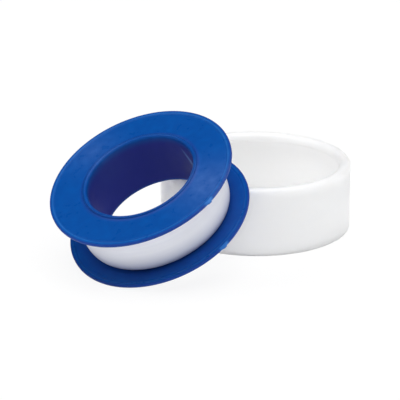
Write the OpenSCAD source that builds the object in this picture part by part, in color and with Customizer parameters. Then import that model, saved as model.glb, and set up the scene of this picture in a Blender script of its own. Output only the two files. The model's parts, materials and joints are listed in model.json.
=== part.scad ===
// Thread seal tape roll: a spool of white film leaning on the cover ring that was pulled off it.
// Millimetres. The cover stands on the floor round the Z axis, with its mouth at z = 0, and the spool
// leans on the cover's -X side. The spool's pieces are drawn upright on their own axis, from the
// outside of the lower flange upwards, and lean() then sets them in place.

/* [Spool] */
// Outer diameter of each flange
flange_d = 48; // [44:0.5:60]
// Thickness of each flange's plate between its rim beads
plate_t = 0.7; // [0.5:0.05:1.5]
// Height of the rim bead above each face of the plate
bead_h = 0.1; // [0.05:0.05:0.3]
// Width of the rim bead
bead_w = 1.1; // [0.8:0.1:2]
// Rounding of the rim's outer corners
rim_r = 0.3; // [0.1:0.05:0.4]
// Diameter of the bore through the hub
bore_d = 28; // [22:0.5:30]
// Wall of the hub sleeve inside the flanges
hub_wall = 1.1; // [1:0.1:1.5]
// Height of the shoulder that each flange seats against
shoulder_h = 0.4; // [0.2:0.1:0.8]
// How far each end of the hub sleeve stands out past its flange, as a collar
collar_h = 0.45; // [0.2:0.05:0.8]
// Rounding of the collar's outer edge
collar_r = 0.4; // [0.1:0.05:0.4]
// Rounding of the bore's two mouths
mouth_r = 0.6; // [0.2:0.05:0.6]
// Clearance between the hub sleeve and a flange's hole
seat_gap = 0.02; // [0.01:0.01:0.05]
// Chamfer round a flange's hole, which shows as a fine ring
seam_w = 0.2; // [0.1:0.05:0.3]
// Width of the gate mark on a flange's rim
gate_w = 1.4; // [0.8:0.1:2]
// Height of the gate mark above the rim
gate_h = 0.25; // [0.1:0.05:0.4]
// Thickness of the gate mark along the axis
gate_t = 0.5; // [0.3:0.1:0.8]
// Angle of the gate marks round the spool
gate_deg = 264; // [0:1:359]

/* [Tape] */
// Width of the tape
tape_w = 12.7; // [10:0.1:19]
// Gap between the tape and each flange
side_gap = 0.35; // [0.2:0.05:0.6]
// Depth of the tape wound on the hub
wind_t = 4.2; // [2:0.1:4.4]
// How much slimmer the soft winding is at its edges than in its middle
crown_fall = 0.6; // [0.2:0.1:1.2]
// Thickness of the film
film_t = 0.1; // [0.06:0.02:0.2]
// Gap under the outer turn and at its ends
film_gap = 0.1; // [0.06:0.02:0.2]
// Angle that the outer turn covers
turn_deg = 345; // [300:5:350]
// Length of the loose end
end_len = 14; // [8:1:18]
// Radius that the loose end springs open to
end_r = 32; // [28:1:60]
// Angle round the spool where the loose end starts
end_deg = 70; // [0:5:355]

/* [Cover] */
// How far the cover's mouth reaches past a spool pushed up against the lip
cover_spare = 0.5; // [0.3:0.1:4]
// Thickness of the cover's wall
cover_wall = 1; // [0.8:0.1:2]
// Radial clearance between a flange and the cover
cover_gap = 0.3; // [0.1:0.05:0.6]
// Reach of the lip inwards from the wall
lip_reach = 2.1; // [1:0.1:4]
// Thickness of the lip
lip_t = 2.4; // [2.3:0.1:3]
// Rounding of the cover's upper outer edge
crown_r = 1.3; // [0.6:0.1:1.3]
// Rounding of the lip's upper inner edge
lip_top_r = 1.7; // [0.4:0.1:1.7]
// Rounding of the lip's lower inner edge
lip_low_r = 0.5; // [0.1:0.1:0.6]
// Rounding where the lip meets the wall inside
nook_r = 0.5; // [0.2:0.1:0.8]

/* [Lean] */
// Clearance between the spool's underside and the cover's edge
lean_gap = 0.1; // [0.05:0.05:0.3]

/* [Hidden] */
$fn = 96;

// Points along a quarter of each rounding
round_steps = 8;
// Points across the crowned winding, and the power at which it falls towards its edges
crown_steps = 16;
crown_power = 6;
// Overlap that lets a cut or an added piece reach into its neighbour
overrun = 0.5;

spool_blue = [0.04, 0.29, 0.66];
cover_white = [0.94, 0.94, 0.93];
film_white = [0.95, 0.95, 0.96];

// Spool, along its own axis
flange_r = flange_d / 2;
rim_t = plate_t + 2 * bead_h;
bead_in_r = flange_r - bead_w;
flange_gap = tape_w + 2 * side_gap;
spool_h = flange_gap + 2 * rim_t;
bore_r = bore_d / 2;
hub_r = bore_r + hub_wall;
shoulder_r = hub_r + shoulder_h;
hole_r = hub_r + seat_gap;
shoulder_z = rim_t - bead_h;

// Tape, on the same axis
tape_z = rim_t + side_gap;
turn_out_r = shoulder_r + wind_t;
turn_in_r = turn_out_r - film_t;
core_r = turn_in_r - film_gap;
film_mid_r = turn_out_r - film_t / 2;
end_gap_deg = film_gap / film_mid_r * 180 / PI;
end_open_deg = end_len / end_r * 180 / PI;
end_start_deg = film_gap / end_r * 180 / PI;

// Cover
cover_h = spool_h + lip_t + cover_spare;
cover_in_r = flange_r + cover_gap;
cover_r = cover_in_r + cover_wall;
lip_in_r = cover_in_r - lip_reach;
lip_z = cover_h - lip_t;

// How the spool leans: its rim's round lower corner touches the floor, and the end of its hub's collar
// meets the round upper edge of the cover, with lean_gap between them
crown_x = crown_r - cover_r;
crown_z = cover_h - crown_r;
lean_r = (bore_r + mouth_r + hub_r - collar_r) / 2;
lean_run = flange_r - rim_r + lean_r;
lean_drop = collar_h + crown_r + lean_gap + rim_r;
lean_deg = asin((crown_z - rim_r) / norm([lean_run, lean_drop])) + atan2(lean_drop, lean_run);
lean_z = (flange_r - rim_r) * sin(lean_deg) + rim_r * (1 - cos(lean_deg));
lean_x = crown_x - ((crown_z - lean_z) * cos(lean_deg) + collar_h + crown_r + lean_gap) / sin(lean_deg);

// Points of an arc, from one angle to another
function arc(centre, radius, from, to) =
    [for (i = [0 : round_steps])
        centre + radius * [cos(from + (to - from) * i / round_steps),
                           sin(from + (to - from) * i / round_steps)]];

// Outline of the wound film across its width, from one edge to the other: fullest in the middle
function crowned(radius) =
    [for (i = [0 : crown_steps])
        let (t = 2 * i / crown_steps - 1)
        [radius - crown_fall * pow(abs(t), crown_power), tape_w * i / crown_steps]];
function backwards(points) = [for (i = [len(points) - 1 : -1 : 0]) points[i]];

// Middle line of the outer turn, and the least clear distance between its two halves
turn_steps = 24;
function turn_point(i) =
    let (a = end_deg - end_gap_deg - turn_deg * i / turn_steps)
    film_mid_r * [cos(a), sin(a)];
turn_self_gap = min([for (i = [0 : turn_steps], j = [0 : turn_steps])
    if (j - i > turn_steps / 2) norm(turn_point(i) - turn_point(j))]) - film_t;
echo(outer_turn_least_gap_to_itself_mm = turn_self_gap);

// Sets a piece that was drawn upright at the origin where the spool leans
module lean() {
    translate([lean_x, 0, lean_z]) rotate([0, -lean_deg, 0]) children();
}

// White ring that slips over the whole spool from its mouth and stops it with the lip at the top
module cover_ring() {
    color(cover_white)
    rotate_extrude()
        polygon(concat(
            [[cover_in_r, 0], [cover_r, 0]],
            arc([cover_r - crown_r, cover_h - crown_r], crown_r, 0, 90),
            arc([lip_in_r + lip_top_r, cover_h - lip_top_r], lip_top_r, 90, 180),
            arc([lip_in_r + lip_low_r, lip_z + lip_low_r], lip_low_r, 180, 270),
            arc([cover_in_r - nook_r, lip_z - nook_r], nook_r, 90, 0)));
}

// Sleeve that carries both flanges near its ends and the winding between its shoulders
module hub_sleeve() {
    color(spool_blue)
    lean()
    rotate_extrude()
        polygon(concat(
            arc([hub_r - collar_r, collar_r - collar_h], collar_r, -90, 0),
            [[hub_r, shoulder_z], [shoulder_r, shoulder_z],
             [shoulder_r, spool_h - shoulder_z], [hub_r, spool_h - shoulder_z]],
            arc([hub_r - collar_r, spool_h + collar_h - collar_r], collar_r, 0, 90),
            arc([bore_r + mouth_r, spool_h + collar_h - mouth_r], mouth_r, 90, 180),
            arc([bore_r + mouth_r, mouth_r - collar_h], mouth_r, 180, 270)));
}

// Thin plate with a rounded rim bead on both faces, a chamfered hole and a gate mark on the rim
module flange() {
    rotate_extrude()
        polygon(concat(
            [[hole_r + seam_w, bead_h], [bead_in_r - bead_h, bead_h], [bead_in_r, 0]],
            arc([flange_r - rim_r, rim_r], rim_r, -90, 0),
            arc([flange_r - rim_r, rim_t - rim_r], rim_r, 0, 90),
            [[bead_in_r, rim_t], [bead_in_r - bead_h, rim_t - bead_h],
             [hole_r, rim_t - bead_h], [hole_r, bead_h + seam_w]]));
    rotate([0, 0, gate_deg])
    translate([flange_r - overrun, -gate_w / 2, (rim_t - gate_t) / 2])
        cube([overrun + gate_h, gate_w, gate_t]);
}

// Flange that rests on the floor and on the cover
module lower_flange() {
    color(spool_blue)
    lean()
        flange();
}

// The same flange turned over on the sleeve's other end, with its gate mark on the same side
module upper_flange() {
    color(spool_blue)
    lean()
    translate([0, 0, spool_h])
    mirror([0, 0, 1])
        flange();
}

// All the turns of film below the outer one
module tape_winding() {
    color(film_white)
    lean()
    translate([0, 0, tape_z])
    rotate_extrude()
        polygon(concat([[shoulder_r + seat_gap, 0]], crowned(core_r), [[shoulder_r + seat_gap, tape_w]]));
}

// Outermost turn of film, open where the layer below shows
module tape_outer_turn() {
    color(film_white)
    lean()
    translate([0, 0, tape_z])
    rotate([0, 0, end_deg - end_gap_deg - turn_deg])
    rotate_extrude(angle = turn_deg)
        polygon(concat(crowned(turn_out_r), backwards(crowned(turn_in_r))));
}

// Loose end of the film, which follows on from the outer turn and springs open
module tape_end() {
    color(film_white)
    lean()
    translate([0, 0, tape_z])
    rotate([0, 0, end_deg])
    translate([film_mid_r - end_r, 0, 0])
    rotate([0, 0, end_start_deg])
    rotate_extrude(angle = end_open_deg)
        translate([end_r - film_t / 2, 0]) square([film_t, tape_w]);
}

cover_ring();
hub_sleeve();
upper_flange();
lower_flange();
tape_winding();
tape_outer_turn();
tape_end();
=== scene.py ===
# %% [markdown]
# # A roll of thread seal tape
# A blue plastic spool carries about ten metres of thin white film, and leans on the white ring that
# slips over it as a cover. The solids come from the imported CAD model. This lesson turns each of them
# into a finished surface: turned mouldings, wound film, satin and waxy plastics, and soft light.

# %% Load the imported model
import json
import math

import bmesh
import bpy
import numpy as np
from mathutils import Matrix, Vector


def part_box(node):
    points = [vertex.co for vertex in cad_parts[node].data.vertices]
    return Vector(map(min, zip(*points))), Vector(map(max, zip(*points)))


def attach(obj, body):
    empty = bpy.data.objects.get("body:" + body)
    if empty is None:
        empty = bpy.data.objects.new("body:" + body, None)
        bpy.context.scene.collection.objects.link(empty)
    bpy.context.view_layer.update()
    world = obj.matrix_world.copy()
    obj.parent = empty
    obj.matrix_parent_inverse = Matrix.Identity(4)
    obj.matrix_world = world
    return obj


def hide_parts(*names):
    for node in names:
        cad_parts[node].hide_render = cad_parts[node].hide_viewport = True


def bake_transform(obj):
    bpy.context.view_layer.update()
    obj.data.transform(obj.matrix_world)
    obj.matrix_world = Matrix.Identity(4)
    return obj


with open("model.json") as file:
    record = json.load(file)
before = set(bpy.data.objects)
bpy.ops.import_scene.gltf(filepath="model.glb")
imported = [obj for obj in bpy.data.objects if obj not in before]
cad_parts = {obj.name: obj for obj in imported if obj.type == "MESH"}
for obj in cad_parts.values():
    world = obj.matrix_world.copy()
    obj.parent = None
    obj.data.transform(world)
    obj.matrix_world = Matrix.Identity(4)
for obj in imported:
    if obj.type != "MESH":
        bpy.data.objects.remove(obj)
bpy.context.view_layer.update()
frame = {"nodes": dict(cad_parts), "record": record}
print("solids:", sorted(frame["nodes"]))

# %% [markdown]
# ## The camera
# The photograph was taken from a little above, with a long lens, so both rims look like flat ellipses
# of nearly the same size. The camera stands half a metre from the middle of the cover and looks at a
# point between the cover and the spool. It comes first, because every later choice is judged through it.

# %% Camera
VIEW_TURN = math.radians(50.24)
VIEW_HEIGHT = math.radians(20.15)
VIEW_DISTANCE = 0.5231
AIM = Vector((-0.00793, 0.01271, 0.00555))
to_camera = Vector((-math.sin(VIEW_TURN), -math.cos(VIEW_TURN), 0))
to_right = Vector((math.cos(VIEW_TURN), -math.sin(VIEW_TURN), 0))

camera_data = bpy.data.cameras.new("long_lens")
camera_data.sensor_width = 36
camera_data.lens = 174.7
camera_data.clip_start = 0.01
camera = bpy.data.objects.new("long_lens", camera_data)
camera.location = to_camera * VIEW_DISTANCE * math.cos(VIEW_HEIGHT)
camera.location.z = VIEW_DISTANCE * math.sin(VIEW_HEIGHT)
camera.rotation_euler = (AIM - camera.location).to_track_quat("-Z", "Y").to_euler()
bpy.context.scene.collection.objects.link(camera)
bpy.context.scene.camera = camera
bpy.context.scene.view_settings.view_transform = "Standard"
print("camera at", [round(x, 4) for x in camera.location])

# %% [markdown]
# ## Colours and nodes
# Colours are written as sRGB hex values, as a paint program shows them, and Blender's shaders want
# linear light, so one function converts them. A second one adds any node, sets its properties and fills
# or links its sockets, which keeps each node tree readable from top to bottom.

# %% Colours and nodes
def linear(hex_colour):
    """Linear RGBA of an sRGB colour such as #1A2B3C."""
    parts = [int(hex_colour[i:i + 2], 16) / 255 for i in (1, 3, 5)]
    return (*[c / 12.92 if c <= 0.04045 else ((c + 0.055) / 1.055) ** 2.4 for c in parts], 1.0)


def add(tree, kind, sockets=None, **settings):
    """Adds a node. A socket, by name or number, gets a value, or a link where the value is a socket."""
    node = tree.nodes.new(kind)
    for name, value in settings.items():
        setattr(node, name, value)
    for key, value in (sockets or {}).items():
        if isinstance(value, bpy.types.NodeSocket):
            tree.links.new(value, node.inputs[key])
        else:
            node.inputs[key].default_value = value
    return node


def per_mm(size):
    """Texture scale at which one feature of a pattern is about size millimetres across."""
    return 1000 / size


print("pure white is", linear("#FFFFFF"), "and mid grey is", [round(c, 3) for c in linear("#808080")])

# %% [markdown]
# ## Floor
# The roll stands on plain white paper that fades into the background. In the photograph the paper is so
# evenly lit that almost no shadow shows. A share of glow, seen only by the camera and in reflections, thins
# the shadow in the same way and adds no light to the roll.

# %% Floor
FLOOR_HALF = 6.0
PAPER_GLOW = 0.9
floor_mesh = bpy.data.meshes.new("paper_floor")
corners = [(-FLOOR_HALF, -FLOOR_HALF, 0), (FLOOR_HALF, -FLOOR_HALF, 0),
           (FLOOR_HALF, FLOOR_HALF, 0), (-FLOOR_HALF, FLOOR_HALF, 0)]
floor_mesh.from_pydata(corners, [], [(0, 1, 2, 3)])
floor = bpy.data.objects.new("paper_floor", floor_mesh)
bpy.context.scene.collection.objects.link(floor)

paper = bpy.data.materials.new("matt_white_paper")
paper.use_nodes = True
tree = paper.node_tree
matt = tree.nodes["Principled BSDF"]
matt.inputs["Base Color"].default_value = linear("#FDFDFD")
matt.inputs["Roughness"].default_value = 1.0
matt.inputs["Specular IOR Level"].default_value = 0.0
ray = add(tree, "ShaderNodeLightPath").outputs
seen = add(tree, "ShaderNodeMath", {0: ray["Is Camera Ray"], 1: ray["Is Glossy Ray"]}, operation="ADD")
shown = add(tree, "ShaderNodeMath", {0: seen.outputs[0], 1: ray["Is Transmission Ray"]}, operation="ADD")
share = add(tree, "ShaderNodeMath", {0: shown.outputs[0], 1: PAPER_GLOW}, operation="MULTIPLY")
glow = add(tree, "ShaderNodeEmission", {"Color": (1, 1, 1, 1), "Strength": 1.0})
lit = add(tree, "ShaderNodeMixShader", {0: share.outputs[0], 1: matt.outputs[0], 2: glow.outputs[0]})
tree.links.new(lit.outputs[0], tree.nodes["Material Output"].inputs["Surface"])
floor_mesh.materials.append(paper)
print("floor is", 2 * FLOOR_HALF, "m wide")

# %% [markdown]
# ## Light
# The light is soft and comes from all round, as in a light tent. A wide softbox overhead lights the faces,
# a panel on the left shapes the spool, and three low panels behind, on the right and in front fill the
# shade. The fill panels are kept out of reflections, as a polariser does for a photographer, because they
# would draw pale lines along the blue rims, which in the photograph have none. Each panel is placed in a
# photographer's words: so far round to the camera's right, and so high over the floor. The world itself
# stays black.

# %% Lamps
def softbox(name, bearing, height, power, size=0.8, distance=1.5, mirrored=True):
    """A square panel lamp, at a bearing to the right of the camera and a height, both in degrees.

    Its power is in watts, and its size and its distance from the roll are in metres.
    """
    lamp = bpy.data.lights.new(name, "AREA")
    lamp.shape = "SQUARE"
    lamp.size = size
    lamp.energy = power
    flat = to_camera * math.cos(math.radians(bearing)) + to_right * math.sin(math.radians(bearing))
    up = math.radians(height)
    holder = bpy.data.objects.new(name, lamp)
    holder.visible_glossy = mirrored
    holder.location = AIM + (flat * math.cos(up) + Vector((0, 0, math.sin(up)))) * distance
    holder.rotation_euler = (AIM - holder.location).to_track_quat("-Z", "Y").to_euler()
    bpy.context.scene.collection.objects.link(holder)
    print(name, "at", [round(x, 2) for x in holder.location], "m")


softbox("overhead_softbox", 35, 78, 23.5, size=1.5)
softbox("panel_left", 282, 42, 6.0)
softbox("panel_behind", 180, 26, 7.0, mirrored=False)
softbox("low_panel_right", 95, 12, 5.5, mirrored=False)
softbox("low_front_panel", 0, 12, 4.8, mirrored=False)

world = bpy.data.worlds.new("dark_studio")
world.use_nodes = True
world.node_tree.nodes["Background"].inputs["Color"].default_value = linear("#000000")
bpy.context.scene.world = world

# %% [markdown]
# ## The spool's own axis
# The spool leans by about 29 degrees. Drawing round pieces on a leaning axis is awkward, so each one is
# drawn upright round the Z axis and its mesh is then moved by one matrix. That matrix comes from the
# hub bore's axis in the record, and the sizes come from the solids, measured in the upright frame.

# %% Upright frame of the spool
MM = 0.001
mounts = {m["name"]: m for m in frame["record"]["mounts"]}
hub_axis = Vector(mounts["hub_bore"]["axis"]).normalized()
hub_point = Vector(mounts["hub_bore"]["pos_m"])
lean_turn = Matrix((Vector((0, 1, 0)).cross(hub_axis), (0, 1, 0), hub_axis)).transposed().to_4x4()


def solid_points(node):
    """A solid's corner points, as rows of numbers in metres."""
    return np.array([v.co for v in frame["nodes"][node].data.vertices])


foot_height = ((solid_points("lower_flange") - np.array(hub_point)) @ np.array(hub_axis)).min()
spool_foot = hub_point + hub_axis * foot_height
leaning = Matrix.Translation(spool_foot) @ lean_turn
lean_angles = leaning.to_euler()
print("the spool leans by", round(math.degrees(-lean_angles.y), 2), "degrees")


# %% Sizes of the solids, in millimetres
def upright(node):
    """A solid's points in the spool's upright frame, as radius, height and angle round the axis."""
    turn = np.array(leaning.inverted())
    points = (solid_points(node) @ turn[:3, :3].T + turn[:3, 3]) / MM
    return np.hypot(points[:, 0], points[:, 1]), points[:, 2], np.arctan2(points[:, 1], points[:, 0])


hub_r, hub_z, _ = upright("hub_sleeve")
plate_r, plate_z, _ = upright("lower_flange")
core_r, core_z, _ = upright("tape_winding")
turn_r, turn_z, turn_a = upright("tape_outer_turn")
cover_points = solid_points("cover_ring") / MM
cover_r = np.hypot(cover_points[:, 0], cover_points[:, 1])

BORE_R = mounts["hub_bore"]["dims"]["r_mm"]
SHOULDER_R = hub_r.max()
COLLAR_H = -hub_z.min()
HOLE_R = plate_r.min()
FLANGE_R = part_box("upper_flange")[1].y / MM
RIM_T = plate_z.max()
SPOOL_H = upright("upper_flange")[1].max()
CORE_R = core_r.max()
TURN_R = turn_r.max()
TAPE_LOW, TAPE_HIGH = core_z.min(), core_z.max()
TAPE_MID = (TAPE_LOW + TAPE_HIGH) / 2
CLOSE = 0.01
CROWN_FALL = CORE_R - core_r[core_z < TAPE_LOW + CLOSE].max()
FILM_T = TURN_R - turn_r[abs(turn_z - TAPE_MID) < CLOSE].min()
COVER_R, LIP_R, COVER_H = cover_r.max(), cover_r.min(), cover_points[:, 2].max()
COVER_IN_R = mounts["cover_bore"]["dims"]["r_mm"]
for label, size in (("bore", BORE_R), ("hole", HOLE_R), ("shoulder", SHOULDER_R), ("flange", FLANGE_R),
                    ("winding", CORE_R), ("outer turn", TURN_R), ("cover", COVER_R), ("lip", LIP_R)):
    print(label, "radius", round(size, 2), "mm")
print("collar", round(COLLAR_H, 2), "film", round(FILM_T, 2), "fall", round(CROWN_FALL, 2), "mm")

# %% [markdown]
# ## A turned moulding
# The cover, the hub and both flanges are round mouldings: one outline carried round an axis. Blender's
# Spin or Screw could do that, but a Geometry Nodes tree keeps the sizes as named inputs and can add the
# slight warp that a thin moulding has when it cools, and the gate marks: small stubs on the rim where the
# plastic was let into the mould. The outline is a closed loop of edges that the tree sweeps round a
# circle. An "edge" value on the outline's points says how the skin differs there: up to 1 where a painted
# highlight makes it paler, 0 where it is plain, and below 0 where painted shade darkens it, down to -1 deep
# inside the bore.

# %% Tree for turned mouldings
def new_tree(name, inputs):
    """An empty geometry tree with named inputs, and the sockets of its group input node."""
    tree = bpy.data.node_groups.new(name, "GeometryNodeTree")
    tree.interface.new_socket("Outline", in_out="INPUT", socket_type="NodeSocketGeometry")
    for label, kind in inputs.items():
        tree.interface.new_socket(label, in_out="INPUT", socket_type="NodeSocket" + kind)
    tree.interface.new_socket("Geometry", in_out="OUTPUT", socket_type="NodeSocketGeometry")
    return tree, add(tree, "NodeGroupInput").outputs


def finished(tree, geometry, finish):
    """The end of a geometry tree: smooth faces, real geometry and a material."""
    smooth = add(tree, "GeometryNodeSetShadeSmooth", {"Geometry": geometry})
    real = add(tree, "GeometryNodeRealizeInstances", {"Geometry": smooth.outputs[0]})
    dressed = add(tree, "GeometryNodeSetMaterial", {"Geometry": real.outputs[0], "Material": finish})
    add(tree, "NodeGroupOutput", {0: dressed.outputs[0]})
    print(tree.name, "has", len(tree.nodes), "nodes")


NOISE_MIDDLE = 0.5
moulding_tree, given = new_tree("turned_moulding", {
    "Bore Radius": "Float", "Rim Radius": "Float", "Steps": "Int", "Warp": "Float", "Warp Scale": "Float",
    "Gate Angle": "Float", "Gate Width": "Float", "Gate Height": "Float", "Seed": "Float",
    "Finish": "Material"})
outline = add(moulding_tree, "GeometryNodeMeshToCurve", {"Mesh": given["Outline"]})
ring = add(moulding_tree, "GeometryNodeCurvePrimitiveCircle",
           {"Radius": given["Bore Radius"], "Resolution": given["Steps"]})
swept = add(moulding_tree, "GeometryNodeCurveToMesh",
            {"Curve": ring.outputs["Curve"], "Profile Curve": outline.outputs["Curve"]})
place = add(moulding_tree, "GeometryNodeInputPosition").outputs[0]
waves = add(moulding_tree, "ShaderNodeTexNoise",
            {"Vector": place, "W": given["Seed"], "Scale": given["Warp Scale"], "Detail": 0.0},
            noise_dimensions="4D").outputs[0]
bend = add(moulding_tree, "ShaderNodeMath", {0: waves, 1: NOISE_MIDDLE}, operation="SUBTRACT").outputs[0]
lift = add(moulding_tree, "ShaderNodeMath", {0: bend, 1: given["Warp"]}, operation="MULTIPLY").outputs[0]
rise = add(moulding_tree, "ShaderNodeCombineXYZ", {"Z": lift}).outputs[0]
print(moulding_tree.name, "takes", [item.name for item in moulding_tree.interface.items_tree])

# %% Gate mark in the same tree: how far each point is from it
axes = add(moulding_tree, "ShaderNodeSeparateXYZ", {0: place}).outputs
flat = add(moulding_tree, "ShaderNodeCombineXYZ", {"X": axes["X"], "Y": axes["Y"]}).outputs[0]
radius = add(moulding_tree, "ShaderNodeVectorMath", {0: flat}, operation="LENGTH").outputs["Value"]
angle = add(moulding_tree, "ShaderNodeMath", {0: axes["Y"], 1: axes["X"]}, operation="ARCTAN2").outputs[0]
off = add(moulding_tree, "ShaderNodeMath",
          {0: angle, 1: given["Gate Angle"]}, operation="SUBTRACT").outputs[0]
near = add(moulding_tree, "ShaderNodeMath",
           {0: off, 1: math.pi, 2: -math.pi}, operation="WRAP").outputs[0]
along = add(moulding_tree, "ShaderNodeMath", {0: near, 1: radius}, operation="MULTIPLY").outputs[0]
away = add(moulding_tree, "ShaderNodeMath", {0: along}, operation="ABSOLUTE").outputs[0]
half = add(moulding_tree, "ShaderNodeMath",
           {0: given["Gate Width"], 1: 0.5}, operation="MULTIPLY").outputs[0]
inset = add(moulding_tree, "ShaderNodeMath", {0: half, 1: away}, operation="SUBTRACT").outputs[0]
depth = add(moulding_tree, "ShaderNodeMath",
            {0: given["Rim Radius"], 1: radius}, operation="SUBTRACT").outputs[0]
print("so far", moulding_tree.name, "has", len(moulding_tree.nodes), "nodes")

# %% Gate mark: the stub, and the pale scar round it
STUB_FADE = 0.06 * MM
STUB_DEPTH = 0.15 * MM
SCAR_REACH = 1.2 * MM
SCAR_FULL = 0.4 * MM
SCAR_DEPTH = 0.5 * MM
SCAR_FULL_DEPTH = 0.3 * MM
SCAR_WEAR = 1.5
stub = add(moulding_tree, "ShaderNodeMapRange",
           {"Value": inset, "From Min": -STUB_FADE, "From Max": STUB_FADE}, interpolation_type="SMOOTHSTEP")
rim_side = add(moulding_tree, "ShaderNodeMapRange",
               {"Value": depth, "From Min": STUB_DEPTH, "From Max": 0.0})
mask = add(moulding_tree, "ShaderNodeMath",
           {0: stub.outputs[0], 1: rim_side.outputs[0]}, operation="MULTIPLY").outputs[0]
tall = add(moulding_tree, "ShaderNodeMath",
           {0: mask, 1: given["Gate Height"]}, operation="MULTIPLY").outputs[0]
outward = add(moulding_tree, "ShaderNodeVectorMath", {0: flat}, operation="NORMALIZE").outputs[0]
pushed = add(moulding_tree, "ShaderNodeVectorMath",
             {0: outward, "Scale": tall}, operation="SCALE").outputs[0]
moves = add(moulding_tree, "ShaderNodeVectorMath", {0: pushed, 1: rise}, operation="ADD").outputs[0]
shaped = add(moulding_tree, "GeometryNodeSetPosition", {"Geometry": swept.outputs[0], "Offset": moves})
nearby = add(moulding_tree, "ShaderNodeMapRange",
             {"Value": inset, "From Min": -SCAR_REACH, "From Max": -SCAR_FULL}).outputs[0]
rim_top = add(moulding_tree, "ShaderNodeMapRange",
              {"Value": depth, "From Min": SCAR_DEPTH, "From Max": SCAR_FULL_DEPTH}).outputs[0]
scar = add(moulding_tree, "ShaderNodeMath", {0: nearby, 1: rim_top}, operation="MULTIPLY").outputs[0]
edge = add(moulding_tree, "GeometryNodeInputNamedAttribute",
           {"Name": "edge"}, data_type="FLOAT").outputs[0]
marked = add(moulding_tree, "ShaderNodeMath",
             {0: scar, 1: SCAR_WEAR, 2: edge}, operation="MULTIPLY_ADD").outputs[0]
stored = add(moulding_tree, "GeometryNodeStoreNamedAttribute",
             {"Geometry": shaped.outputs[0], "Name": "edge", "Value": marked},
             data_type="FLOAT", domain="POINT")
finished(moulding_tree, stored.outputs[0], given["Finish"])


# %% From an outline to a plain mesh
def corner(middle, radius, start, stop, steps=8, edge=0.0):
    """Outline points on a rounding, in millimetres, each with the same edge value."""
    turns = [math.radians(start + (stop - start) * i / steps) for i in range(steps + 1)]
    return [(middle[0] + radius * math.cos(a), middle[1] + radius * math.sin(a), edge) for a in turns]


def faces_outward(mesh):
    """Turns every face of a closed mesh outwards."""
    shell = bmesh.new()
    shell.from_mesh(mesh)
    bmesh.ops.recalc_face_normals(shell, faces=shell.faces)
    shell.to_mesh(mesh)
    shell.free()


def sweep(name, tree, points, values, move=Matrix.Identity(4)):
    """Runs a tree on a closed outline of (x, y, edge) points in mm and returns a plain object of it."""
    loop = bpy.data.meshes.new(name)
    count = len(points)
    loop.from_pydata([(x * MM, y * MM, 0) for x, y, _ in points],
                     [(i, (i + 1) % count) for i in range(count)], [])
    loop.attributes.new("edge", "FLOAT", "POINT").data.foreach_set("value", [e for _, _, e in points])
    piece = bpy.data.objects.new(name, loop)
    bpy.context.scene.collection.objects.link(piece)
    modifier = piece.modifiers.new("sweep", "NODES")
    modifier.node_group = tree
    sockets = {item.name: item.identifier for item in tree.interface.items_tree}
    for label, value in values.items():
        modifier[sockets[label]] = value
    evaluated = piece.evaluated_get(bpy.context.evaluated_depsgraph_get())
    made = bpy.data.meshes.new_from_object(evaluated)
    piece.modifiers.remove(modifier)
    piece.data = made
    bpy.data.meshes.remove(loop)
    made.name = name
    made.transform(move)
    faces_outward(made)
    print(name, "has", len(made.polygons), "faces")
    return piece


def turned(name, outline, inner, rim, finish, move=Matrix.Identity(4), steps=256, seed=0.0, **extra):
    """A turned moulding from an outline of (radius, height, edge) points, all sizes in millimetres."""
    values = {"Bore Radius": inner * MM, "Rim Radius": rim * MM, "Steps": steps, "Warp": 0.0,
              "Warp Scale": per_mm(25), "Gate Angle": 0.0, "Gate Width": 0.0, "Gate Height": 0.0,
              "Seed": seed, "Finish": finish}
    values.update(extra)
    return sweep(name, moulding_tree, [(r - inner, -z, e) for r, z, e in outline], values, move)


print("a quarter round has", len(corner((0, 0), 1, 0, 90)), "points")

# %% [markdown]
# ## Blue polypropylene, injection moulded
# The spool is moulded in pigmented polypropylene. The mould was turned on a lathe and only lightly
# polished, so the skin keeps faint rings round the axis and a fine grain, and it shines only a little.
# Two paler patches on the face are a painted sheen, the bead's paler crest is a painted highlight, and the
# rim is rubbed paler round each gate. Deep in the bore the skin looks duller, darker and more violet, with
# one pale streak along the wall. Soft lamps alone didn't give that, so it is put into the colour: the
# violet is painted shade and the streak a painted highlight. The same painted shade darkens the cove round
# the hole, the rim's side and the faces between the flanges. The rings are about 0.05 mm apart and the
# grain
# 0.1 mm. Both would be lost at this distance, so they are drawn at 0.5 and 0.7 mm.

# %% Blue polypropylene
def plain_material(name, ior):
    """A material with its tree, its shader, and the object coordinates for its patterns."""
    material = bpy.data.materials.new(name)
    material.use_nodes = True
    tree = material.node_tree
    shader = tree.nodes["Principled BSDF"]
    shader.inputs["IOR"].default_value = ior
    where = add(tree, "ShaderNodeTexCoord").outputs["Object"]
    return material, tree, shader, where


blue_pp, tree, shader, where = plain_material("polypropylene_moulded_blue", 1.49)
shader.inputs["Specular IOR Level"].default_value = 0.1
on_spool = add(tree, "ShaderNodeMapping",
               {"Vector": where, "Location": spool_foot, "Rotation": lean_angles},
               vector_type="TEXTURE").outputs[0]
mottle = add(tree, "ShaderNodeTexNoise",
             {"Vector": on_spool, "Scale": per_mm(6), "Detail": 4.0, "Roughness": 0.55}).outputs[0]
blotch = add(tree, "ShaderNodeTexNoise",
             {"Vector": on_spool, "Scale": per_mm(2.2), "Detail": 3.0, "Roughness": 0.5}).outputs[0]
rub = add(tree, "ShaderNodeMapRange", {"Value": blotch, "From Min": 0.45, "From Max": 0.8}).outputs[0]
edge = add(tree, "ShaderNodeAttribute", attribute_name="edge").outputs["Fac"]
# Painted shade: edge values below 0 darken the skin towards violet navy, fully deep in the bore
painted_shade = add(tree, "ShaderNodeMapRange", {"Value": edge, "From Min": 0.0, "From Max": -1.0}).outputs[0]
raised = add(tree, "ShaderNodeMapRange", {"Value": edge}).outputs[0]
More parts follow.
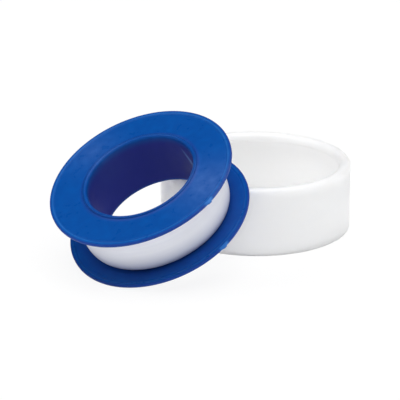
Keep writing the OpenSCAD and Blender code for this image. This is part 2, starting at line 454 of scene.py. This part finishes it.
# Pale edges: a painted highlight on the bead's crest, and real wear round the gates
wear_and_painted_highlight = add(tree, "ShaderNodeMath", {0: raised, 1: mottle}, operation="MULTIPLY").outputs[0]
print(blue_pp.name, "leans with the spool, whose foot is at", [round(x, 4) for x in spool_foot])

# %% Painted sheen and highlights on the blue skin
# Two patches of painted sheen on the upper face, then a painted highlight streak on the bore's wall and its
# wider end. For each one: degrees round the axis, radius and height in mm, tilt in degrees, reach each way
# in mm, and strength.
PAINTED_LIGHT_MARKS = (
    (280, 19.5, SPOOL_H, 0, (16, 16, 16), 0.75),
    (80, 19.5, SPOOL_H, 0, (14, 14, 14), 0.4),
    (-13.9, BORE_R + 0.1, 8.8, -24, (1.5, 0.9, 5.4), 7.0),
    (-16, BORE_R + 0.1, 7.4, -24, (1.5, 1.7, 3.2), 2.0))
painted_sheen_and_highlight = 0.0
for degrees, r, z, tilt, reach, strength in PAINTED_LIGHT_MARKS:
    turn = math.radians(degrees)
    spot = Vector((r * math.cos(turn), r * math.sin(turn), z)) * MM
    turned_to = Matrix.Rotation(turn, 3, "Z") @ Matrix.Rotation(math.radians(tilt), 3, "X")
    mark = add(tree, "ShaderNodeMapping",
               {"Vector": on_spool, "Location": spot, "Rotation": turned_to.to_euler(),
                "Scale": Vector(reach) * MM}, vector_type="TEXTURE").outputs[0]
    patch = add(tree, "ShaderNodeTexGradient",
                {"Vector": mark}, gradient_type="QUADRATIC_SPHERE").outputs[0]
    # Each patch of painted sheen or highlight is broken up by the blotches
    painted_patch = add(tree, "ShaderNodeMath", {0: patch, 1: blotch}, operation="MULTIPLY").outputs[0]
    painted_sheen_and_highlight = add(tree, "ShaderNodeMath",
               {0: painted_patch, 1: strength, 2: painted_sheen_and_highlight}, operation="MULTIPLY_ADD").outputs[0]
print(len(PAINTED_LIGHT_MARKS), "pale marks")

# %% Colour and gloss of the blue skin
SATIN = (0.26, 0.36)
BORE_DULLNESS = 0.2
# Each layer covers those before it: mottled pigment, rubbed blotches, painted shade, painted sheen and
# highlights, and pale edges, which are a painted highlight with the wear round the gates
LAYERS = ((mottle, "#0B4FA0"), (rub, "#0652A3"), (painted_shade, "#273187"), (painted_sheen_and_highlight, "#5878B8"), (wear_and_painted_highlight, "#3F86D6"))
colour = linear("#094694")
for amount, layer in LAYERS:
    colour = add(tree, "ShaderNodeMix",
                 {0: amount, 6: colour, 7: linear(layer)}, data_type="RGBA").outputs[2]
tree.links.new(colour, shader.inputs["Base Color"])
dull = add(tree, "ShaderNodeMapRange",
           {"Value": blotch, "From Min": 0.3, "From Max": 0.7, "To Min": SATIN[0], "To Max": SATIN[1]})
matted = add(tree, "ShaderNodeMath",
             {0: painted_shade, 1: BORE_DULLNESS, 2: dull.outputs[0]}, operation="MULTIPLY_ADD")
tree.links.new(matted.outputs[0], shader.inputs["Roughness"])
print("roughness runs from", SATIN[0], "to", SATIN[1], "and", BORE_DULLNESS, "higher in the bore")

# %% Turned rings and grain of the blue skin
flat = add(tree, "ShaderNodeVectorMath", {0: on_spool, 1: (1, 1, 0)}, operation="MULTIPLY").outputs[0]
radius = add(tree, "ShaderNodeVectorMath", {0: flat}, operation="LENGTH").outputs["Value"]
rings = add(tree, "ShaderNodeTexNoise", {"W": radius, "Scale": per_mm(0.5), "Detail": 2.0},
            noise_dimensions="1D").outputs[0]
grain = add(tree, "ShaderNodeTexNoise",
            {"Vector": on_spool, "Scale": per_mm(0.7), "Detail": 2.0}).outputs[0]
turned_skin = add(tree, "ShaderNodeBump",
                  {"Height": rings, "Strength": 1.0, "Distance": 0.01 * MM}).outputs[0]
relief = add(tree, "ShaderNodeBump",
             {"Height": grain, "Strength": 0.25, "Distance": 0.03 * MM, "Normal": turned_skin})
tree.links.new(relief.outputs[0], shader.inputs["Normal"])
print(blue_pp.name, "has", len(tree.nodes), "nodes")

# %% [markdown]
# ## White polyethylene, injection moulded
# The cover is a softer, waxy plastic. Light enters its skin a little way and comes out again, which
# softens the shade at its rims, so the shader scatters its light below the surface. It does so 8 mm deep,
# further than the real plastic, because the photograph's cover shows almost no shade. The skin is smoother
# than the spool's, with faint flow marks from the moulding.

# %% White polyethylene
white_pe, tree, shader, where = plain_material("polyethylene_moulded_white", 1.51)
shader.inputs["Subsurface Weight"].default_value = 1.0
shader.inputs["Subsurface Radius"].default_value = (1.0, 0.95, 0.9)
shader.inputs["Subsurface Scale"].default_value = 8 * MM
flow = add(tree, "ShaderNodeMapping", {"Vector": where, "Scale": (1, 1, 3)}).outputs[0]
cloud = add(tree, "ShaderNodeTexNoise", {"Vector": flow, "Scale": per_mm(12), "Detail": 4.0}).outputs[0]
tint = add(tree, "ShaderNodeMix",
           {0: cloud, 6: linear("#F7F7F6"), 7: linear("#FBFBFA")}, data_type="RGBA").outputs[2]
tree.links.new(tint, shader.inputs["Base Color"])
sheen = add(tree, "ShaderNodeMapRange", {"Value": cloud, "To Min": 0.3, "To Max": 0.44})
tree.links.new(sheen.outputs[0], shader.inputs["Roughness"])
ripple = add(tree, "ShaderNodeTexNoise", {"Vector": where, "Scale": per_mm(1.2), "Detail": 3.0}).outputs[0]
relief = add(tree, "ShaderNodeBump", {"Height": ripple, "Strength": 0.1, "Distance": 0.04 * MM})
tree.links.new(relief.outputs[0], shader.inputs["Normal"])
print(white_pe.name, "has", len(tree.nodes), "nodes")

# %% [markdown]
# ## White fluoropolymer film, unsintered
# The tape is a film rolled thin from white paste and only dried, so it is matt and soft, with faint
# streaks along its length from the rolls. The streaks are about 0.2 mm apart, and are drawn 0.7 mm wide so
# that they show. On the wound roll they run round the axis, so the pattern is fine along the axis alone.
# Towards the lower flange the film looks a cool grey, from the blue and the shade beside it, and part of
# that is put into the colour as painted shade with a painted blue reflection.

# %% White fluoropolymer film
white_film, tree, shader, where = plain_material("fluoropolymer_film_white", 1.36)
shader.inputs["Roughness"].default_value = 0.6
shader.inputs["Subsurface Weight"].default_value = 0.25
shader.inputs["Subsurface Radius"].default_value = (1.0, 1.0, 1.0)
shader.inputs["Subsurface Scale"].default_value = 0.5 * MM
on_spool = add(tree, "ShaderNodeMapping",
               {"Vector": where, "Location": spool_foot, "Rotation": lean_angles},
               vector_type="TEXTURE").outputs[0]
along = add(tree, "ShaderNodeMapping", {"Vector": on_spool, "Scale": (0.06, 0.06, 1)}).outputs[0]
streak = add(tree, "ShaderNodeTexNoise",
             {"Vector": along, "Scale": per_mm(0.7), "Detail": 3.0}).outputs[0]
height = add(tree, "ShaderNodeSeparateXYZ", {0: on_spool}).outputs["Z"]
# Painted shade with a blue cast, growing from the middle of the film to its lower edge
low = add(tree, "ShaderNodeMapRange",
          {"Value": height, "From Min": TAPE_MID * MM, "From Max": TAPE_LOW * MM}).outputs[0]
painted_shade_near_flange = add(tree, "ShaderNodeMath", {0: low, 1: 2.0}, operation="POWER").outputs[0]
clean = add(tree, "ShaderNodeMix",
            {0: streak, 6: linear("#EDEFF8"), 7: linear("#F6F8FE")}, data_type="RGBA").outputs[2]
film_with_painted_shade = add(tree, "ShaderNodeMix",
             {0: painted_shade_near_flange, 6: clean, 7: linear("#8691B4")}, data_type="RGBA").outputs[2]
tree.links.new(film_with_painted_shade, shader.inputs["Base Color"])
relief = add(tree, "ShaderNodeBump", {"Height": streak, "Strength": 0.15, "Distance": 0.05 * MM})
tree.links.new(relief.outputs[0], shader.inputs["Normal"])
print(white_film.name, "has", len(tree.nodes), "nodes")

# %% [markdown]
# ## The cover ring
# A thin wall with a rounded crown and a thick round lip that turns inwards at the top. The lip stops the
# spool when the cover is pushed over it. All corners are rounded as a mould's are, because a sharp corner
# would show no bright line along its edge.

# %% Cover ring
def carried(piece, body, node):
    """Ties a finished piece to its body and hides the solid that it stands for."""
    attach(piece, body)
    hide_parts(node)


# Sizes in millimetres: the lip's thickness, then the roundings
LIP_T = 2.4
LIP_TOP = 1.7
LIP_LOW = 0.5
CROWN = 1.3
MOUTH = 0.25
NOOK = 0.5
cover_outline = (
    corner((COVER_IN_R + MOUTH, MOUTH), MOUTH, 180, 270, 5)
    + corner((COVER_R - MOUTH, MOUTH), MOUTH, 270, 360, 5)
    + [(COVER_R, COVER_H * share, 0.0) for share in (0.25, 0.5, 0.75)]
    + corner((COVER_R - CROWN, COVER_H - CROWN), CROWN, 0, 90, 14)
    + corner((LIP_R + LIP_TOP, COVER_H - LIP_TOP), LIP_TOP, 90, 180, 14)
    + corner((LIP_R + LIP_LOW, COVER_H - LIP_T + LIP_LOW), LIP_LOW, 180, 270, 6)
    + corner((COVER_IN_R - NOOK, COVER_H - LIP_T - NOOK), NOOK, 90, 0, 6)
    + [(COVER_IN_R, COVER_H * share, 0.0) for share in (0.65, 0.35)])
cover = turned("slip_on_cover", cover_outline, COVER_IN_R, COVER_R, white_pe)
carried(cover, "cover", "cover_ring")

# %% [markdown]
# ## The hub sleeve
# The tube in the middle. Its ends stand out past the flanges as soft round collars, so that the spool
# turns easily on a finger or a peg and its faces don't rub. A shoulder near each end stops the flange, and
# the bore is a little wider at its lower end, so that the moulding came off its core. Within a few
# millimetres of the mouth the skin turns to the bore's darker blue, which is painted shade, and the edge
# values carry it.

# %% Hub sleeve
# Sizes in millimetres. Heights and depths count from the plane of the flange's bead.
SEAT_GAP = 0.02
SLEEVE_R = HOLE_R - SEAT_GAP
BEAD_H = 0.1
SEAT = RIM_T - BEAD_H
SHOULDER_ROUND = 0.1
COLLAR_FOOT = 0.3
DRAFT = 0.4
FADE_START = -0.5
# Painted shade as edge values below 0: a little on the collar and the mouth, and up to -1 on the bore's
# wall
COLLAR_SHADE = -0.15
MOUTH_SHADE = -0.05
WALL_DEPTHS = (0.5, 0.8, 1.1, 1.5, 1.9, 2.4)


def smooth_step(value, start, stop):
    """Rises smoothly from 0 at start to 1 at stop."""
    t = min(1.0, max(0.0, (value - start) / (stop - start)))
    return t * t * (3 - 2 * t)


def hub_end(bore, mouth_round, collar_round, fade):
    """Outline of the sleeve's lower end, from its middle outside to its middle inside, in millimetres.

    The painted shade in the bore is at its darkest from the depth called fade on.
    """
    return ([(SHOULDER_R, SPOOL_H / 2, 0.0), (SHOULDER_R, SEAT + 2 * SHOULDER_ROUND, 0.0)]
            + corner((SHOULDER_R - SHOULDER_ROUND, SEAT + SHOULDER_ROUND), SHOULDER_ROUND, 0, -90, 3)
            + [(SLEEVE_R, SEAT, 0.0), (SLEEVE_R, COLLAR_FOOT, 0.0)]
            + corner((SLEEVE_R - collar_round, collar_round - COLLAR_H), collar_round, 0, -90, 8,
                     COLLAR_SHADE)
            + corner((bore + mouth_round, mouth_round - COLLAR_H), mouth_round, 270, 200, 8, MOUTH_SHADE)
            + [(bore, depth, -smooth_step(depth, FADE_START, fade)) for depth in WALL_DEPTHS]
            + [(BORE_R + DRAFT / 2, SPOOL_H / 2, -1.0)])


seen_end = hub_end(BORE_R, mouth_round=0.8, collar_round=0.3, fade=2.4)
far_end = hub_end(BORE_R + DRAFT, mouth_round=0.5, collar_round=0.2, fade=0.5)
upper_end = [(r, SPOOL_H - z, e) for r, z, e in reversed(seen_end[1:-1])]
hub = turned("hub_tube", far_end + upper_end, BORE_R, SHOULDER_R, blue_pp, leaning)
carried(hub, "spool", "hub_sleeve")

# %% [markdown]
# ## The flanges
# Two equal plates. From the hole outwards each has a cove that runs up to the collar, a flat face, a fine
# groove and a raised bead at the rim, and all of them show as thin rings. The bead's crest is paler, a
# painted highlight, and painted shade darkens the cove, the rim's side and the inner face. The plate is
# warped by less than a tenth of a millimetre, which breaks up its reflections as on any thin moulding.

# %% Flange outline, outer face down
# Sizes in millimetres. The bead's slope, the groove and the crest's painted highlight lie so far in from
# the rim.
COVE = 1.1
COVE_H = 0.2
# Painted shade in the cove round the hole
COVE_SHADE = -0.35
BEAD_SLOPE = (1.25, 0.8)
GROOVE = 0.05
GROOVE_SPAN = (1.6, 1.4, 1.2)
CREST = 0.85
CREST_W = 0.22
# The bead's crest is paler as a painted highlight, less so on the inner face
CREST_HIGHLIGHT = 0.5
INNER_HIGHLIGHT = 0.6
RIM_ROUND = 0.3
# Painted shade on the rim's side
RIM_SHADE = -0.45
HOLE_LOW = 0.4
# Painted shade on the inner face, which faces the other flange: edge values from the bead to the hole
INNER_SHADES = (-0.1, -0.3, -0.4)


def face_height(r):
    """Height of the flange's outer face above the plane that its bead touches, in millimetres."""
    cove = COVE_H * max(0.0, 1 - (r - HOLE_R) / COVE) ** 2
    bead_start, bead_top = (FLANGE_R - inset for inset in BEAD_SLOPE)
    bead = BEAD_H * smooth_step(r, bead_start, bead_top)
    start, middle, stop = (FLANGE_R - inset for inset in GROOVE_SPAN)
    groove = GROOVE * smooth_step(r, start, middle)
    groove *= 1 - smooth_step(r, middle, stop)
    return BEAD_H - cove - bead + groove


def crest_highlight(r):
    """How pale the bead's crest is painted, as a painted highlight: most a little inside the rim."""
    return CREST_HIGHLIGHT * math.exp(-((FLANGE_R - r - CREST) / CREST_W) ** 2)


# Points lie closest where the face curves: on the cove, and from the groove to the rim
radii = [*np.linspace(HOLE_R + 0.01, HOLE_R + COVE, 14),
         *np.linspace(HOLE_R + 1.3, FLANGE_R - 1.7, 12),
         *np.linspace(FLANGE_R - 1.65, FLANGE_R - 0.32, 24)]
face = [(float(r), face_height(r),
         COVE_SHADE * (1 - smooth_step(r, HOLE_R, HOLE_R + COVE)) + crest_highlight(r)) for r in radii]
inner_bead = [(r, RIM_T - face_height(r), INNER_HIGHLIGHT * crest_highlight(r) + INNER_SHADES[0])
              for r in np.linspace(FLANGE_R - 0.34, FLANGE_R - 1.7, 24)]
flange_outline = (
    face
    + corner((FLANGE_R - RIM_ROUND, RIM_ROUND), RIM_ROUND, -90, 0, 7, RIM_SHADE)
    + corner((FLANGE_R - RIM_ROUND, RIM_T - RIM_ROUND), RIM_ROUND, 0, 90, 7, RIM_SHADE)
    + inner_bead
    + [(HOLE_R + 5, RIM_T - BEAD_H, INNER_SHADES[1]), (HOLE_R, RIM_T - BEAD_H, INNER_SHADES[2]),
       (HOLE_R, HOLE_LOW, INNER_SHADES[2])])
print("flange outline has", len(flange_outline), "points")

# %% Both flanges
GATE_H = 0.35
WARP = 0.08
turned_over = Matrix.Translation((0, 0, SPOOL_H * MM)) @ Matrix.Diagonal((1, 1, -1, 1))
for name, node, move, seed, gate_degrees, gate_width in (
        ("lower_disc", "lower_flange", leaning, 3.0, -96, 1.4),
        ("upper_disc", "upper_flange", leaning @ turned_over, 4.0, -93, 1.2)):
    gate = {"Gate Angle": math.radians(gate_degrees), "Gate Width": gate_width * MM,
            "Gate Height": GATE_H * MM, "Warp": WARP * MM}
    disc = turned(name, flange_outline, HOLE_R, FLANGE_R, blue_pp, move, steps=512, seed=seed, **gate)
    carried(disc, "spool", node)

# %% [markdown]
# ## The wound film
# Thread seal tape is one long strip wound on itself, so its core is a spiral. Curve Spiral draws the
# path, and Curve to Mesh carries the film's cross section along it. The film is soft and gives way at its
# edges, so the deeper the winding, the more it is crowned: fullest in the middle and slimmer at both
# edges. Real turns are about 0.1 mm apart, and every two or three are drawn as one. The spiral's resolution
# counts points for each rotation, not for its whole length.

# %% Tree for wound film
film_tree, given = new_tree("wound_film", {
    "Start Radius": "Float", "End Radius": "Float", "Turns": "Float", "Steps": "Int", "Drift": "Float",
    "Hub Radius": "Float", "Full Radius": "Float", "Half Width": "Float", "Crown Fall": "Float",
    "Crease": "Float", "Crease Scale": "Float", "Seed": "Float", "Finish": "Material"})
outline = add(film_tree, "GeometryNodeMeshToCurve", {"Mesh": given["Outline"]})
path = add(film_tree, "GeometryNodeCurveSpiral",
           {"Resolution": given["Steps"], "Rotations": given["Turns"],
            "Start Radius": given["Start Radius"], "End Radius": given["End Radius"],
            "Height": 0.0, "Reverse": True})
steady = add(film_tree, "GeometryNodeSetCurveNormal", {"Curve": path.outputs[0]}, mode="Z_UP")
place = add(film_tree, "GeometryNodeInputPosition").outputs[0]
waves = add(film_tree, "ShaderNodeTexNoise",
            {"Vector": place, "W": given["Seed"], "Scale": per_mm(9), "Detail": 1.0},
            noise_dimensions="4D").outputs[0]
wander = add(film_tree, "ShaderNodeMath", {0: waves, 1: NOISE_MIDDLE}, operation="SUBTRACT").outputs[0]
shift = add(film_tree, "ShaderNodeMath", {0: wander, 1: given["Drift"]}, operation="MULTIPLY").outputs[0]
sideways = add(film_tree, "ShaderNodeCombineXYZ", {"Z": shift}).outputs[0]
drifted = add(film_tree, "GeometryNodeSetPosition", {"Geometry": steady.outputs[0], "Offset": sideways})
swept = add(film_tree, "GeometryNodeCurveToMesh",
            {"Curve": drifted.outputs[0], "Profile Curve": outline.outputs["Curve"], "Fill Caps": True})
print(film_tree.name, "takes", [item.name for item in film_tree.interface.items_tree])

# %% Crown and creases in the same tree
CROWN_POWER = 6.0
CREASE_SLANT = 0.5
CREASE_MIDDLE = 0.2
axes = add(film_tree, "ShaderNodeSeparateXYZ", {0: place}).outputs
flat = add(film_tree, "ShaderNodeCombineXYZ", {"X": axes["X"], "Y": axes["Y"]}).outputs[0]
radius = add(film_tree, "ShaderNodeVectorMath", {0: flat}, operation="LENGTH").outputs["Value"]
share = add(film_tree, "ShaderNodeMapRange",
            {"Value": radius, "From Min": given["Hub Radius"], "From Max": given["Full Radius"]}).outputs[0]
across = add(film_tree, "ShaderNodeMath",
             {0: axes["Z"], 1: given["Half Width"]}, operation="DIVIDE").outputs[0]
off_middle = add(film_tree, "ShaderNodeMath", {0: across}, operation="ABSOLUTE").outputs[0]
steep = add(film_tree, "ShaderNodeMath", {0: off_middle, 1: CROWN_POWER}, operation="POWER").outputs[0]
built = add(film_tree, "ShaderNodeMath", {0: steep, 1: share}, operation="MULTIPLY").outputs[0]
fall = add(film_tree, "ShaderNodeMath",
           {0: built, 1: given["Crown Fall"]}, operation="MULTIPLY").outputs[0]
slant = add(film_tree, "ShaderNodeVectorRotate",
            {"Vector": place, "Angle": CREASE_SLANT}, rotation_type="X_AXIS").outputs[0]
folds = add(film_tree, "ShaderNodeTexNoise",
            {"Vector": slant, "W": given["Seed"], "Scale": given["Crease Scale"], "Detail": 2.0},
            noise_dimensions="4D").outputs[0]
crease = add(film_tree, "ShaderNodeMath", {0: folds, 1: NOISE_MIDDLE}, operation="SUBTRACT").outputs[0]
dent = add(film_tree, "ShaderNodeMath", {0: CREASE_MIDDLE, 1: crease}, operation="SUBTRACT").outputs[0]
amount = add(film_tree, "ShaderNodeMath",
             {0: dent, 1: given["Crease"]}, operation="MULTIPLY").outputs[0]
inward = add(film_tree, "ShaderNodeMath", {0: fall, 1: amount}, operation="ADD").outputs[0]
back = add(film_tree, "ShaderNodeMath", {0: inward, 1: -1.0}, operation="MULTIPLY").outputs[0]
outward = add(film_tree, "ShaderNodeVectorMath", {0: flat}, operation="NORMALIZE").outputs[0]
pressed = add(film_tree, "ShaderNodeVectorMath",
              {0: outward, "Scale": back}, operation="SCALE").outputs[0]
crowned = add(film_tree, "GeometryNodeSetPosition", {"Geometry": swept.outputs[0], "Offset": pressed})
finished(film_tree, crowned.outputs[0], given["Finish"])

# %% Film section and where the film ends
HALF_W = (TAPE_HIGH - TAPE_LOW) / 2


def film_section(thickness, steps):
    """Closed outline of flat film across its width, in millimetres."""
    rows = [HALF_W * (2 * i / steps - 1) for i in range(steps + 1)]
    return [(0.0, y, 0.0) for y in rows] + [(-thickness, y, 0.0) for y in reversed(rows)]


joints = {j["name"]: j for j in frame["record"]["behaviour"]["joints"]}
hinge = leaning.inverted() @ Vector(joints["tape_end_peel"]["pos_m"])
END_ANGLE = math.atan2(hinge.y, hinge.x)
angles = np.sort(turn_a)
OPEN_ANGLE = np.diff(np.append(angles, angles[0] + 2 * math.pi)).max()
print("film ends at", round(math.degrees(END_ANGLE)), "degrees, and the turn under it starts",
      round(math.degrees(OPEN_ANGLE)), "degrees further on")

# %% Core of the winding and outer turn
# Sizes in millimetres: the thickness of a drawn turn, and the space under the first
TURNS = 15
CORE_FILM_T = 0.19
CORE_START = 0.3
wound = {"Hub Radius": SHOULDER_R * MM, "Full Radius": TURN_R * MM, "Half Width": HALF_W * MM,
         "Crown Fall": CROWN_FALL * MM, "Finish": white_film}
to_middle = Matrix.Translation((0, 0, TAPE_MID * MM))
film_start = leaning @ to_middle @ Matrix.Rotation(END_ANGLE + OPEN_ANGLE, 4, "Z")
core = sweep("wound_core", film_tree, film_section(CORE_FILM_T, 20),
             {"Start Radius": (SHOULDER_R + CORE_START) * MM, "End Radius": CORE_R * MM,
              "Turns": float(TURNS), "Steps": 120, "Drift": 0.2 * MM, "Crease": 0.0,
              "Crease Scale": per_mm(7), "Seed": 5.0, **wound}, film_start)
carried(core, "spool", "tape_winding")
outer = sweep("outer_film_turn", film_tree, film_section(FILM_T, 32),
              {"Start Radius": (CORE_R + FILM_T) * MM, "End Radius": TURN_R * MM,
               "Turns": 1 - OPEN_ANGLE / (2 * math.pi), "Steps": 300, "Drift": 0.05 * MM,
               "Crease": 0.1 * MM, "Crease Scale": per_mm(7), "Seed": 6.0, **wound}, film_start)
carried(outer, "outer_turn", "tape_outer_turn")

# %% [markdown]
# ## The loose end
# Where the film was torn off, its last centimetre and a half springs open from the winding. It is a thin
# sheet that starts with the crowned section of the outer turn and flattens out, with a ragged tear at its
# end. A grid of points worked out by a formula is the plainest way to make it. It starts where the peel
# joint is.

# %% Loose end
# Sizes in millimetres. Each wave of the tear has a height, a rate across the film and a start.
END_LENGTH = 14.0
END_RADIUS = 32.0
FREE_LENGTH = 7.0
CURL = 0.5
FLUTTER = 0.12
FLUTTER_ACROSS = 2.3
FLUTTER_ALONG = 0.5
TEAR_INSET = 0.7
TEAR_WAVES = ((0.45, 5.1, 1.0), (0.25, 13.0, 0.0), (0.12, 37.0, 2.0))
ROWS, COLUMNS = 48, 40
centre_r = TURN_R - FILM_T / 2 - END_RADIUS


def loose_point(row, column, side):
    """A point on the loose end in the upright frame, in metres; side is +1 outside and -1 inside."""
    t = 2 * column / COLUMNS - 1
    tear = sum(high * math.sin(rate * t + start) for high, rate, start in TEAR_WAVES)
    s = (END_LENGTH - TEAR_INSET + tear) * row / ROWS
    freed = smooth_step(s, 0, FREE_LENGTH)
    curl = CURL * (s / END_LENGTH) ** 3
    curl += FLUTTER * freed * math.sin(FLUTTER_ACROSS * t + FLUTTER_ALONG * s)
    crown = CROWN_FALL * abs(t) ** CROWN_POWER * (1 - freed)
    reach = END_RADIUS + curl - crown + side * FILM_T / 2
    a = END_ANGLE + s / END_RADIUS
    x = centre_r * math.cos(END_ANGLE) + reach * math.cos(a)
    y = centre_r * math.sin(END_ANGLE) + reach * math.sin(a)
    return Vector((x, y, TAPE_MID + HALF_W * t)) * MM


grid = [(row, column) for row in range(ROWS + 1) for column in range(COLUMNS + 1)]
points = [loose_point(row, column, side) for side in (1, -1) for row, column in grid]
wide, layer = COLUMNS + 1, len(grid)
quads = [(i, i + 1, i + wide + 1, i + wide)
         for row in range(ROWS) for i in range(row * wide, row * wide + COLUMNS)]
border = ([*range(wide)] + [row * wide + COLUMNS for row in range(1, ROWS + 1)]
          + [ROWS * wide + column for column in range(COLUMNS - 1, -1, -1)]
          + [row * wide for row in range(ROWS - 1, 0, -1)])
hem = [(a, b, b + layer, a + layer) for a, b in zip(border, border[1:] + border[:1])]
sheet = bpy.data.meshes.new("loose_film_end")
sheet.from_pydata(points, [], quads + [tuple(i + layer for i in q) for q in quads] + hem)
sheet.transform(leaning)
faces_outward(sheet)
sheet.shade_smooth()
sheet.materials.append(white_film)
loose = bpy.data.objects.new("loose_film_end", sheet)
bpy.context.scene.collection.objects.link(loose)
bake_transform(loose)
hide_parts("tape_end")
print("loose_film_end has", len(sheet.polygons), "faces")
